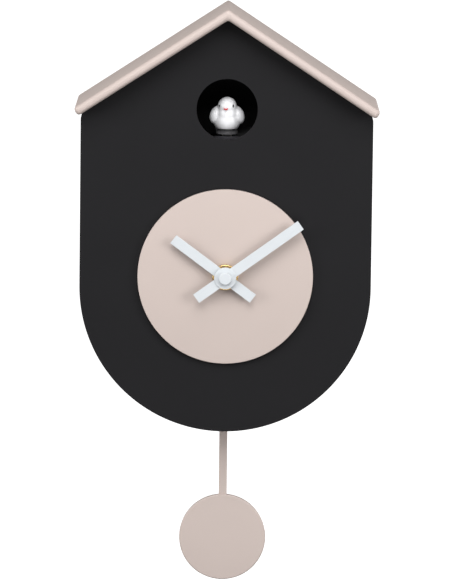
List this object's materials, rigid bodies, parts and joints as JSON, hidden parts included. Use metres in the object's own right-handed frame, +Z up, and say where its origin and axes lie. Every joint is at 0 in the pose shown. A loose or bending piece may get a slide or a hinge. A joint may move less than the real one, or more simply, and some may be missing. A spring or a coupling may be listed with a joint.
{
  "type": "cuckoo clock",
  "caption": "House-shaped wall cuckoo clock with a round bottom, flat round dial, plain bar hands, sliding bird and disc pendulum.",
  "frame": {"origin": "On the rear face, which bears on the wall, on the vertical centre line and straight behind the hand axis.", "axes": "+X to the right seen from the front, +Y from the dial back into the wall, +Z up along the centre line."},
  "size_m": [0.2142, 0.088, 0.4129],
  "materials": {
    "black_plastic": "fine satin black",
    "gloss_black_plastic": "smooth gloss black",
    "greige_plastic": "matt warm greige",
    "white_hand": "satin cool white paint",
    "white_bird": "gloss white with painted eyes and beak",
    "grey_plastic": "moulded grey",
    "natural_plastic": "natural moulding resin",
    "brass": "turned brass",
    "steel": "zinc-plated steel",
    "copper_wire": "enamelled copper winding",
    "magnet": "dull nickel plate",
    "rubber": "soft black rubber",
    "circuit_board": "green solder mask",
    "cell_wrap": "plain printed sleeve",
    "cone_paper": "black pressed paper"
  },
  "bodies": {
    "housing": {"front_case": "black_plastic", "rear_cover": "black_plastic", "roof": "greige_plastic", "dial_disc": "greige_plastic", "bird_chamber": "gloss_black_plastic", "hanger_plate": "steel", "cover_screw_1": "steel", "cover_screw_2": "steel", "cover_screw_3": "steel", "cover_screw_4": "steel", "hanger_screw_1": "steel", "hanger_screw_2": "steel", "movement_case": "natural_plastic", "movement_lid": "natural_plastic", "threaded_bush": "brass", "rubber_washer": "rubber", "fixing_nut": "brass", "stator": "steel", "stepper_coil": "copper_wire", "movement_board": "circuit_board", "quartz_crystal": "steel", "pendulum_drive": "natural_plastic", "pendulum_pin": "steel", "pendulum_coil": "copper_wire", "bird_motor": "magnet", "bird_rail": "black_plastic", "battery_1": "cell_wrap", "battery_2": "cell_wrap", "battery_3": "cell_wrap", "contact_top_pair": "steel", "contact_top_single": "steel", "contact_low_single": "steel", "contact_low_pair": "steel", "speaker_frame": "steel", "speaker_cone": "cone_paper", "speaker_magnet": "magnet", "sound_board": "circuit_board", "volume_switch": "steel", "test_switch": "steel"},
    "minute_work": {"minute_arbor": "grey_plastic", "minute_hand": "white_hand", "hand_cap": "white_hand"},
    "hour_work": {"hour_wheel": "natural_plastic", "hour_hand": "white_hand"},
    "motion_work": {"motion_wheel": "grey_plastic", "time_set_knob": "grey_plastic"},
    "third_work": {"third_wheel": "natural_plastic"},
    "rotor_work": {"rotor": "grey_plastic"},
    "pendulum": {"pendulum_arm": "grey_plastic", "pendulum_magnet": "magnet", "pendulum_rod": "greige_plastic", "pendulum_bob": "greige_plastic"},
    "bird": {"bird_body": "white_bird", "bird_perch": "grey_plastic"},
    "pinion": {"bird_pinion": "natural_plastic"},
    "door": {"battery_door": "black_plastic"},
    "volume": {"volume_knob": "grey_plastic"},
    "button": {"test_button": "grey_plastic"}
  },
  "joints": [
    {"name": "minute_turn", "type": "hinge", "parent": "housing", "child": "minute_work", "pos_m": [0, -0.06, 0], "axis": [0, 1, 0], "continuous": true},
    {"name": "hour_turn", "type": "hinge", "parent": "housing", "child": "hour_work", "pos_m": [0, -0.06, 0], "axis": [0, 1, 0], "continuous": true},
    {"name": "motion_turn", "type": "hinge", "parent": "housing", "child": "motion_work", "pos_m": [0.00928, -0.06, -0.00779], "axis": [0, 1, 0], "continuous": true},
    {"name": "third_turn", "type": "hinge", "parent": "housing", "child": "third_work", "pos_m": [-0.00415, -0.06, 0.01139], "axis": [0, 1, 0], "continuous": true},
    {"name": "rotor_turn", "type": "hinge", "parent": "housing", "child": "rotor_work", "pos_m": [-0.0136, -0.06, 0.01685], "axis": [0, 1, 0], "continuous": true},
    {"name": "pendulum_swing", "type": "hinge", "parent": "housing", "child": "pendulum", "pos_m": [0, -0.04, 0.024], "axis": [0, 1, 0], "range_deg": [-6, 6]},
    {"name": "bird_slide", "type": "slide", "parent": "housing", "child": "bird", "axis": [0, -1, 0], "range_m": [0, 0.018]},
    {"name": "pinion_turn", "type": "hinge", "parent": "housing", "child": "pinion", "pos_m": [0, -0.0295, 0.09422], "axis": [1, 0, 0], "range_deg": [0, 214.9]},
    {"name": "door_hinge", "type": "hinge", "parent": "housing", "child": "door", "pos_m": [0.07, -0.0011, -0.0325], "axis": [1, 0, 0], "range_deg": [-100, 0]},
    {"name": "volume_slide", "type": "slide", "parent": "housing", "child": "volume", "axis": [1, 0, 0], "range_m": [-0.003, 0.003]},
    {"name": "test_press", "type": "slide", "parent": "housing", "child": "button", "axis": [0, -1, 0], "range_m": [0, 0.001], "stiffness_N_per_m": 800, "springref_m": -0.001}
  ],
  "couplings": [
    {"joint": "hour_turn", "follows": "minute_turn", "ratio": 0.083333},
    {"joint": "motion_turn", "follows": "minute_turn", "ratio": -0.33333},
    {"joint": "third_turn", "follows": "minute_turn", "ratio": -5},
    {"joint": "rotor_turn", "follows": "minute_turn", "ratio": 25},
    {"joint": "pinion_turn", "follows": "bird_slide", "rad_per_m": 208.33}
  ]
}
